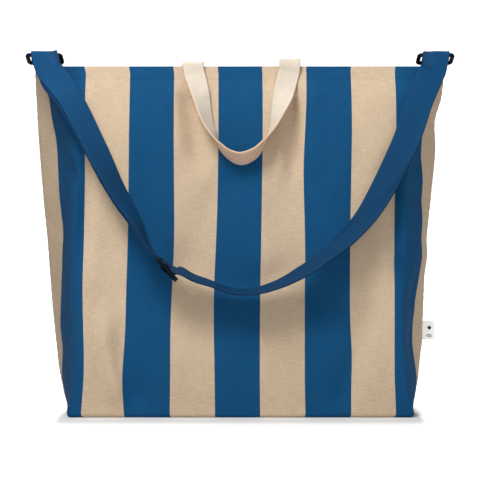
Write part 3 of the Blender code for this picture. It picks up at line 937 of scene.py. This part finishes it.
BEIGE = (0.620, 0.475, 0.330, 1.0)
BLUE = (0.002, 0.072, 0.190, 1.0)
NATURAL = (0.690, 0.605, 0.500, 1.0)
# Painted shade: a darker, warmer copy of the natural webbing for its inner face
NATURAL_INNER_PAINTED_SHADE = (0.730, 0.505, 0.355, 1.0)
STRAP_BLUE = (0.002, 0.060, 0.165, 1.0)
# Painted shade: a darker copy of the strap blue for its inner face
STRAP_INNER_PAINTED_SHADE = (0.002, 0.030, 0.105, 1.0)
THREAD_BEIGE = (0.520, 0.395, 0.275, 1.0)
THREAD_NAVY = (0.002, 0.056, 0.150, 1.0)
THREAD_BLUE = (0.020, 0.090, 0.200, 1.0)
THREAD_NATURAL = (0.760, 0.680, 0.560, 1.0)
LABEL_WHITE = (0.950, 0.940, 0.900, 1.0)
LABEL_INK = (0.050, 0.050, 0.055, 1.0)
PLASTIC_BLACK = (0.001, 0.002, 0.006, 1.0)
PLASTIC_WORN = (0.003, 0.005, 0.012, 1.0)


# ---------------------------------------------------------------- the pieces


def finish_piece(obj, body, slot, *nodes):
    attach(obj, body)
    if nodes:
        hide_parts(*nodes)
    return obj


def build_bag(mats, tree):
    for face, wall, turned in (("front", FRONT, False), ("back", BACK, True)):
        panel = make_panel(f"{face}_cloth", wall, turned, mats["canvas"])
        finish_piece(panel, "bag", "striped_canvas", f"{face}_panel")
        hem = make_hem(f"{face}_turned_hem", wall, turned, mats["canvas"])
        finish_piece(hem, "bag", "striped_canvas", f"{face}_hem")
        us = np.arange(-SEAM_U + 0.004, SEAM_U - 0.003, 0.002)
        lines = []
        for below in HEM_STITCHES:
            x, y = wall.row(us, HEIGHT - below, -0.00005)
            lines.append([(px, py, HEIGHT - below) for px, py in zip(x, y)])
        row = stitches(f"{face}_hem_stitches", lines, mats["hem_thread"], tree, thread=HEM_THREAD)
        finish_piece(turn_about(row, turned), "bag", "natural_canvas")


def build_seams(mats, tree):
    """The sewn allowances inside the bag, bound with overlock thread."""
    canvas = mats["canvas_plain"]
    for side, sign, table in (("left", -1, LEFT_SIDE), ("right", 1, RIGHT_SIDE)):
        path = []
        for k in range(60):
            z = SEAM_FOOT + SEAM_RISE * k / 59
            x = table_at(table, z)[0] - SEAM_INSET
            path.append((Vector((sign * x, 0.0008 * math.sin(k * 0.7), z)), Vector((sign, 0.0, 0.0))))
        seam = webbing(f"{side}_seam_allowance", path, SEAM_WIDTH, 2 * CANVAS, canvas, half_columns=3)
        finish_piece(seam, "bag", "striped_canvas", f"{side}_side_seam")
        lines = edge_lines(path, SEAM_WIDTH, 2 * CANVAS, 0.0022)
        row = stitches(f"{side}_seam_stitches", lines, mats["thread_natural"], tree)
        finish_piece(row, "bag", "natural_canvas")
        low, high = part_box(f"{side}_corner_seam")
        x = (low.x + high.x) / 2
        z = (low.z + high.z) / 2
        reach = high.y - 0.001
        path = [(Vector((x, -reach + 2 * reach * k / 30, z)), Vector((0, 0, 1))) for k in range(31)]
        tall = high.z - low.z
        corner = webbing(f"{side}_corner_allowance", path, tall, 2 * CANVAS, canvas, half_columns=3)
        finish_piece(corner, "bag", "striped_canvas", f"{side}_corner_seam")
    low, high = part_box("bottom_seam")
    z = (low.z + high.z) / 2
    path = [(Vector((low.x + (high.x - low.x) * k / 80, 0.0, z)), Vector((0, 0, 1))) for k in range(81)]
    seam = webbing("bottom_allowance", path, high.z - low.z, 2 * CANVAS, canvas, half_columns=3)
    finish_piece(seam, "bag", "striped_canvas", "bottom_seam")


def sewn_end(x, side):
    """The end of a handle that is sewn inside the rim, from its foot up to the rim."""
    inside = 0.0020 + CANVAS + 2 * GAP + HANDLE_THICK / 2
    rows = []
    for k in range(16):
        z = HEIGHT - SEWN_DEPTH + (SEWN_DEPTH - 0.0005) * k / 15
        rows.append((Vector((x, -(front_depth(z) - inside), z)), side.copy()))
    return rows


def over_rim(x, side, profile):
    return [(Vector((x, HANDLE_AXIS_Y + y, HANDLE_AXIS_Z + z)), side.copy()) for y, z in profile]


def handle_paths():
    """The loop from rim to rim, and its two sewn ends."""
    hanging = route_path(HANDLE_ROUTE, HANDLE_WIDTH / 2, HANDLE_STAND_OFF)
    across = Vector((1, 0, 0))
    start_x, end_x = HANDLE_ROUTE[0][0], HANDLE_ROUTE[-1][0]
    left, right = sewn_end(start_x, across), sewn_end(end_x, -across)
    lead = left[-1:] + over_rim(start_x, across, HANDLE_OVER)
    tail = over_rim(end_x, -across, HANDLE_OVER_HIGH[::-1]) + right[-1:]
    return lead + hanging[2:-2] + tail, left, right[::-1]


def build_handles(mats, tree):
    loop, left, right = handle_paths()
    loop = refined(loop, 0.0025)

    def cupped(distance, t):
        return 0.0009 * (t * t - 0.4) + 0.0005 * noise.noise(Vector((distance * 45, t * 1.5, 5.0)))

    for face, turned in (("front", False), ("back", True)):
        body = f"{face}_handle"
        handle = webbing(f"{face}_carry_handle", loop, HANDLE_WIDTH, HANDLE_THICK, mats["natural"], cupped)
        lines = edge_lines(loop, HANDLE_WIDTH, HANDLE_THICK, HANDLE_STITCH_INSET, cupped)
        rows = stitches(f"{face}_handle_stitches", lines, mats["thread_natural"], tree)
        for piece in (handle, rows):
            turn_about(piece, turned)
            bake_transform(piece)
        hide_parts(body)
        sides = ("right", "left") if turned else ("left", "right")
        for side, path in zip(sides, (left, right)):
            sewn = webbing(f"{face}_handle_{side}_sewn", path, HANDLE_WIDTH, HANDLE_THICK, mats["natural"])
            finish_piece(turn_about(sewn, turned), "bag", "natural_canvas", f"{face}_handle_{side}_end")
            lines = edge_lines(path, HANDLE_WIDTH, HANDLE_THICK, HANDLE_STITCH_INSET)
            rows = stitches(f"{face}_handle_{side}_sewing", lines, mats["thread_natural"], tree)
            finish_piece(turn_about(rows, turned), "bag", "natural_canvas")


def rounded_loop(width, height, radius, steps):
    """A closed outline in the XY plane with round corners."""
    points = []
    for quadrant in range(4):
        cx = (width / 2 - radius) * (1 if quadrant in (0, 3) else -1)
        cy = (height / 2 - radius) * (1 if quadrant in (0, 1) else -1)
        for k in range(steps + 1):
            angle = math.pi / 2 * (quadrant + k / steps)
            points.append(Vector((cx + radius * math.cos(angle), cy + radius * math.sin(angle), 0)))
    return points


def build_rings(mats):
    for side, sign in (("left", -1), ("right", 1)):
        curve = bpy.data.curves.new(f"{side}_strap_ring", "CURVE")
        curve.dimensions = "3D"
        curve.bevel_depth = RING_BAR
        curve.bevel_resolution = 5
        spline = curve.splines.new("POLY")
        outline = rounded_loop(*RING_SIZE, RING_CORNER, 8)
        spline.points.add(len(outline) - 1)
        for point, place in zip(spline.points, outline):
            point.co = (*place, 1)
        spline.use_cyclic_u = True
        curve.materials.append(mats["plastic"])
        ring = bpy.data.objects.new(f"{side}_strap_ring", curve)
        bpy.context.scene.collection.objects.link(ring)
        lie = RING_FRONT - RING_BACK
        ring.location = (RING_BACK + RING_FRONT) / 2 + Vector((sign * RING_X, 0, 0))
        ring.rotation_euler = (math.atan2(lie.z, lie.y), 0, 0)
        ring = settle(ring)
        ring.data.shade_smooth()
        finish_piece(ring, f"{side}_ring", "dark_plastic", f"{side}_ring")


def tab_path(sign):
    """Down the front of the tab, round the ring's back bar, and down behind."""
    bar = RING_BACK + Vector((sign * RING_X, 0, 0))
    wrap = RING_BAR + 2 * GAP + STRAP_THICK / 2
    layer = STRAP_THICK / 2 + GAP / 2
    foot = Vector((sign * 0.278, 0.000, 0.468))
    front, back = [], []
    for k in range(13):
        t = k / 12
        centre = bar.lerp(foot, 0.16 + 0.84 * t)
        turn = math.radians(70 * t) * sign
        across = Vector((math.cos(turn), math.sin(turn), 0))
        normal = Vector((math.sin(turn), -math.cos(turn), 0))
        spread = layer + (wrap - layer) * (1 - t) ** 3 * 0.8
        front.append((centre + normal * spread, across))
        back.append((centre - normal * spread, across))
    arc = around_bar(bar, Vector((0, -1, 0)), Vector((1, 0, 0)), wrap, 12, -180)
    return list(reversed(front)) + arc + back


def build_tabs(mats):
    for side, sign in (("left", -1), ("right", 1)):
        path = tab_path(sign)
        tab = webbing(f"{side}_webbing_tab", path, TAB_WIDTH, STRAP_THICK, mats["strap"], half_columns=5)
        finish_piece(tab, "bag", "blue_canvas", f"{side}_ring_tab")


def wrap_over_ring(bar, skew=0.0):
    """The webbing's turn over a ring's front bar, from the layer in front to the layer behind."""
    wrap = RING_BAR + 2 * GAP + STRAP_THICK / 2
    arc = around_bar(bar, Vector((0, -1, 0.34)), Vector((1, 0, 0)), wrap, 16, -192)
    shift = Vector((skew, 0, 0))
    return [(centre + shift * (1 - k / 16), across) for k, (centre, across) in enumerate(arc)]


def build_strap(mats, tree):
    layer = STRAP_THICK / 2 + GAP
    half = SLIDER_SIZE[1] / 2
    left_bar = RING_FRONT + Vector((-RING_X, 0, 0))
    right_bar = RING_FRONT + Vector((RING_X, 0, 0))
    loop = route_path(LOOP_ROUTE, half, STAND_OFF)
    loop_length = path_frames(loop)[-1][3]
    front, back, inside = [], [], []
    for centre, across, normal, distance in path_frames(loop):
        aside = 0.0040 * float(smooth(distance, 0.0, 0.025) * (1 - smooth(distance, 0.070, 0.160)))
        front.append((centre + normal * layer, -across))
        back.append((centre - normal * layer - across * aside, -across))
        if distance > loop_length - HIDDEN_LENGTH:
            inside.append((centre.copy(), across))
    over = [(centre, -across) for centre, across in wrap_over_ring(left_bar, RING_SKEW)]
    path = front[::-1] + over + back
    piece = webbing("doubled_loop", path, STRAP_WIDTH, STRAP_THICK, mats["strap"], strap_ripple)
    lines = edge_lines(path, STRAP_WIDTH, STRAP_THICK, STITCH_INSET, strap_ripple)
    rows = stitches("loop_stitches", lines, mats["thread_blue"], tree)
    for part in (piece, rows):
        finish_piece(part, "shoulder_strap", "blue_canvas")
        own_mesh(part)
    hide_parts("adjusting_loop")

    run = route_path(RUN_ROUTE, half, STAND_OFF)
    over = [(centre, -across) for centre, across in wrap_over_ring(right_bar)]
    keep = [pair for pair in run if pair[0].z > HEIGHT - RETURN_LENGTH]
    hidden = path_frames(inside)[-1][3] + (run[0][0] - inside[-1][0]).length
    joining = refined([inside[-1], run[0]])[1:-1]
    path = inside + joining + layered(run, layer) + over + layered(keep, -layer)[::-1]
    length = path_frames(layered(run, layer))[-1][3]

    def creased(distance, t):
        share = (distance - hidden) / length
        crest = 0.95 - 1.9 * float(smooth(share, 0.30, 0.80))
        amount = 0.0010 * float(smooth(share, 0.02, 0.08)) + 0.0044 * float(smooth(share, 0.15, 0.34))
        amount *= 1 - float(smooth(share, 0.70, 0.92))
        ridge = amount * (math.exp(-abs(t - crest) / 0.42) - 0.45)
        bump = 0.0058 * math.exp(-(((distance - hidden - 0.004) / 0.0150) ** 2))
        return ridge + bump + strap_ripple(distance, t)

    piece = webbing("shoulder_run", path, STRAP_WIDTH, STRAP_THICK, mats["strap"], creased, half_columns=14)
    lines = edge_lines(path, STRAP_WIDTH, STRAP_THICK, STITCH_INSET, creased)
    rows = stitches("run_stitches", lines, mats["thread_blue"], tree)
    for part in (piece, rows):
        finish_piece(part, "shoulder_strap", "blue_canvas")
    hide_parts("shoulder_strap")


def strap_ripple(distance, t):
    return 0.0006 * noise.noise(Vector((distance * 28, t * 1.2, 9.0)))


def slider_place():
    """The slider's frame: along the strap, across it, and out of its face."""
    turn = math.radians(LOOP_ROUTE[-1][2])
    along = Matrix.Rotation(SLIDER_TILT, 3, "Y") @ SLIDER_ALONG
    across = Vector((-along.z, 0, along.x)) * math.cos(turn) + Vector((0, math.sin(turn), 0))
    x, z = SLIDER_AT
    y = -front_depth(z) - STAND_OFF - SLIDER_SIZE[1] / 2 * math.sin(turn)
    return Vector((x, y, z)), along, across, along.cross(across)


def build_slider(mats):
    centre, along, across, out = slider_place()
    place = Matrix((along, across, out)).transposed().to_4x4()
    place.translation = centre
    curve = bpy.data.curves.new("strap_slider", "CURVE")
    curve.dimensions = "2D"
    curve.fill_mode = "BOTH"
    rounding = 0.0009
    curve.extrude = SLIDER_SIZE[2] / 2 + 0.0006 - rounding
    curve.bevel_depth = rounding
    curve.bevel_resolution = 3
    outlines = [(SLIDER_SIZE[0] - 2 * rounding, SLIDER_SIZE[1] - 2 * rounding, 0.0045, 0.0)]
    for sign in (-1, 1):
        outlines.append((SLOT[0] + 2 * rounding - 0.0016, SLOT[1], 0.0016, sign * (CENTRE_BAR + SLOT[0]) / 2))
    for width, height, radius, shift in outlines:
        spline = curve.splines.new("POLY")
        outline = rounded_loop(width, height, radius, 6)
        spline.points.add(len(outline) - 1)
        for point, spot in zip(spline.points, outline):
            point.co = (spot.x + shift, spot.y, 0, 1)
        spline.use_cyclic_u = True
    curve.materials.append(mats["plastic"])
    slider = bpy.data.objects.new("strap_slider", curve)
    bpy.context.scene.collection.objects.link(slider)
    slider.matrix_world = place
    slider = settle(slider)
    finish_piece(slider, "slider", "dark_plastic", "slider")
    fold = [
        (0.0230, -0.0034), (0.0110, -0.0038), (0.0058, -0.0022), (0.0046, 0.0020), (0.0020, 0.0036),
        (-0.0020, 0.0036), (-0.0046, 0.0020), (-0.0052, -0.0026), (-0.0020, -0.0056), (0.0230, -0.0052),
    ]
    path = refined([(centre + along * t + out * n, across.copy()) for t, n in fold], 0.0015)
    end = webbing("sewn_strap_end", path, STRAP_WIDTH, 0.0016, mats["strap"])
    finish_piece(end, "slider", "blue_canvas", "strap_end_fold")


def build_label(mats):
    low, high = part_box("side_label")
    middle = (low + high) / 2
    low.x -= LABEL_TUCK
    size = high - low
    points, faces, uvs = [], [], []
    wide, tall = 8, 14
    for k in range(tall + 1):
        for i in range(wide + 1):
            s, t = i / wide, k / tall
            bend = 0.0012 * math.sin(s * 1.6) * math.cos((t - 0.5) * 2.0)
            points.append((low.x + size.x * s, -bend, low.z + size.z * t))
    for k in range(tall):
        for i in range(wide):
            a = k * (wide + 1) + i
            faces.append((a, a + 1, a + wide + 2, a + wide + 1))
            corner = [(i, k), (i + 1, k), (i + 1, k + 1), (i, k + 1)]
            uvs += [(size.x * p / wide, size.z * q / tall) for p, q in corner]
    label = mesh_from("side_tag", points, faces, uvs, mats["label"])
    label = thicken(label, size.y, 0.0)
    finish_piece(label, "side_label", "label_cloth", "side_label")
    for k, (dx, dz, width, height) in enumerate(LABEL_MARKS):
        x, z = middle.x + dx, middle.z + dz
        s = (x - low.x) / size.x
        t = (z - low.z) / size.z
        y = -0.0012 * math.sin(s * 1.6) * math.cos((t - 0.5) * 2.0) - size.y / 2 - 0.00012
        bm = bmesh.new()
        bmesh.ops.create_grid(bm, x_segments=4, y_segments=4, size=0.5)
        tilt = Matrix.Rotation(math.radians(45) if k == 2 else 0, 4, "Y")
        sized = Matrix.Diagonal((width, 1, height, 1)) @ Matrix.Rotation(math.pi / 2, 4, "X")
        place = Matrix.Translation((x, y, z)) @ tilt @ sized
        bmesh.ops.transform(bm, matrix=place, verts=bm.verts)
        mesh = bpy.data.meshes.new(f"printed_mark_{k + 1}")
        bm.to_mesh(mesh)
        bm.free()
        mesh.materials.append(mats["ink"])
        mark = bpy.data.objects.new(f"printed_mark_{k + 1}", mesh)
        bpy.context.scene.collection.objects.link(mark)
        finish_piece(mark, "side_label", "label_cloth")


# ---------------------------------------------------------------- stage


def area_light(name, place, target, size, power):
    light = bpy.data.lights.new(name, "AREA")
    light.shape = "RECTANGLE"
    light.size, light.size_y = size
    light.energy = power
    obj = bpy.data.objects.new(name, light)
    obj.location = place
    obj.rotation_euler = (Vector(target) - Vector(place)).to_track_quat("-Z", "Y").to_euler()
    bpy.context.scene.collection.objects.link(obj)


def build_stage():
    """A pale sweep that runs from the floor up behind the bag, and soft lights."""
    points, faces = [], []
    profile = [(-6.0, 0.0), (1.8, 0.0)]
    for k in range(1, 13):
        angle = math.pi / 2 * k / 12
        profile.append((1.8 + 1.5 * math.sin(angle), 1.5 * (1 - math.cos(angle))))
    profile.append((3.3, 6.0))
    for y, z in profile:
        points += [(-7.0, y, z - 0.0002), (7.0, y, z - 0.0002)]
    for k in range(len(profile) - 1):
        faces.append((2 * k, 2 * k + 1, 2 * k + 3, 2 * k + 2))
    mesh = bpy.data.meshes.new("sweep")
    mesh.from_pydata(points, [], faces)
    mesh.shade_smooth()
    material, tree, shader = blank_material("pale_paper", 0.9, 0.2)
    shader.inputs["Base Color"].default_value = (0.78, 0.78, 0.78, 1)
    shader.inputs["Emission Color"].default_value = (1, 1, 1, 1)
    seen = tree.nodes.new("ShaderNodeLightPath").outputs["Is Camera Ray"]
    place = add_node(tree, "ShaderNodeTexCoord").outputs["Object"]
    sides = vector_maths(tree, "ABSOLUTE", place).outputs[0]
    beyond = vector_maths(tree, "SUBTRACT", sides, BASE_HALF).outputs[0]
    outside = vector_maths(tree, "MAXIMUM", beyond, (0, 0, 0)).outputs[0]
    scaled = vector_maths(tree, "MULTIPLY", outside, (6, 1, 0)).outputs[0]
    away = vector_maths(tree, "LENGTH", scaled).outputs["Value"]
    spread = add_node(tree, "ShaderNodeMapRange", Value=away, _1=GLOW_FROM, _2=GLOW_TO, _4=GLOW).outputs[0]
    tree.links.new(maths(tree, "MULTIPLY", seen, spread), shader.inputs["Emission Strength"])
    mesh.materials.append(material)
    sweep = bpy.data.objects.new("sweep", mesh)
    bpy.context.scene.collection.objects.link(sweep)

    world = bpy.data.worlds.new("studio")
    world.use_nodes = True
    world.node_tree.nodes["Background"].inputs["Color"].default_value = (1, 1, 1, 1)
    seen = world.node_tree.nodes.new("ShaderNodeLightPath").outputs["Is Camera Ray"]
    glow = maths(world.node_tree, "ADD", maths(world.node_tree, "MULTIPLY", seen, 0.74), 0.26)
    world.node_tree.links.new(glow, world.node_tree.nodes["Background"].inputs["Strength"])
    bpy.context.scene.world = world
    aim = (0, 0, 0.28)
    area_light("key", (-0.72, -1.30, 2.00), aim, (0.85, 0.85), 45)
    area_light("front", (0.2, -3.2, 0.5), aim, (1.6, 1.2), 5)
    area_light("fill", (2.0, -1.5, 0.9), aim, (1.0, 1.0), 6)
    area_light("top", (0.0, 0.9, 2.2), (0, 0, 0), (1.4, 1.4), 20)


def build_camera():
    camera = bpy.data.cameras.new("camera")
    camera.lens = 102.5
    camera.sensor_width = 36
    obj = bpy.data.objects.new("camera", camera)
    obj.location = (0, -2.0, HEIGHT / 2)
    obj.rotation_euler = (math.pi / 2, 0, 0)
    bpy.context.scene.collection.objects.link(obj)
    bpy.context.scene.camera = obj
    bpy.context.scene.view_settings.view_transform = "Standard"


def main():
    build_camera()
    build_stage()
    weave, shade, tree = weave_group(), shade_group(), stitch_tree()
    mats = {
        "canvas": striped_canvas(weave, shade),
        "canvas_plain": plain_cloth("seam_canvas", BEIGE, weave, shade, 0.16, 0.35, 0.0010),
        "natural": plain_cloth(
            "natural_webbing", NATURAL, weave, shade, 0.14, 0.5, 0.0014, NATURAL_INNER_PAINTED_SHADE, HANDLE_WIDTH + 0.0008
        ),
        "strap": plain_cloth(
            "blue_webbing", STRAP_BLUE, weave, shade, 0.14, 0.5, 0.0012,
            STRAP_INNER_PAINTED_SHADE, STRAP_WIDTH + 0.0008, STRAP_LOW_PAINTED_SHADE,
        ),
        "hem_thread": striped_thread(),
        "thread_natural": plain_cloth("natural_thread", THREAD_NATURAL, weave, shade, 0.05, 0.1, 0.0006),
        "thread_blue": plain_cloth("blue_thread", THREAD_BLUE, weave, shade, 0.05, 0.1, 0.0006),
        "label": glowing_label_satin(weave, shade),
        "ink": plain_cloth("label_ink", LABEL_INK, weave, shade, 0.05, 0.1, 0.0006),
        "plastic": moulded_plastic(),
    }
    build_bag(mats, tree)
    build_seams(mats, tree)
    build_handles(mats, tree)
    build_rings(mats)
    build_tabs(mats)
    build_strap(mats, tree)
    build_slider(mats)
    build_label(mats)


main()
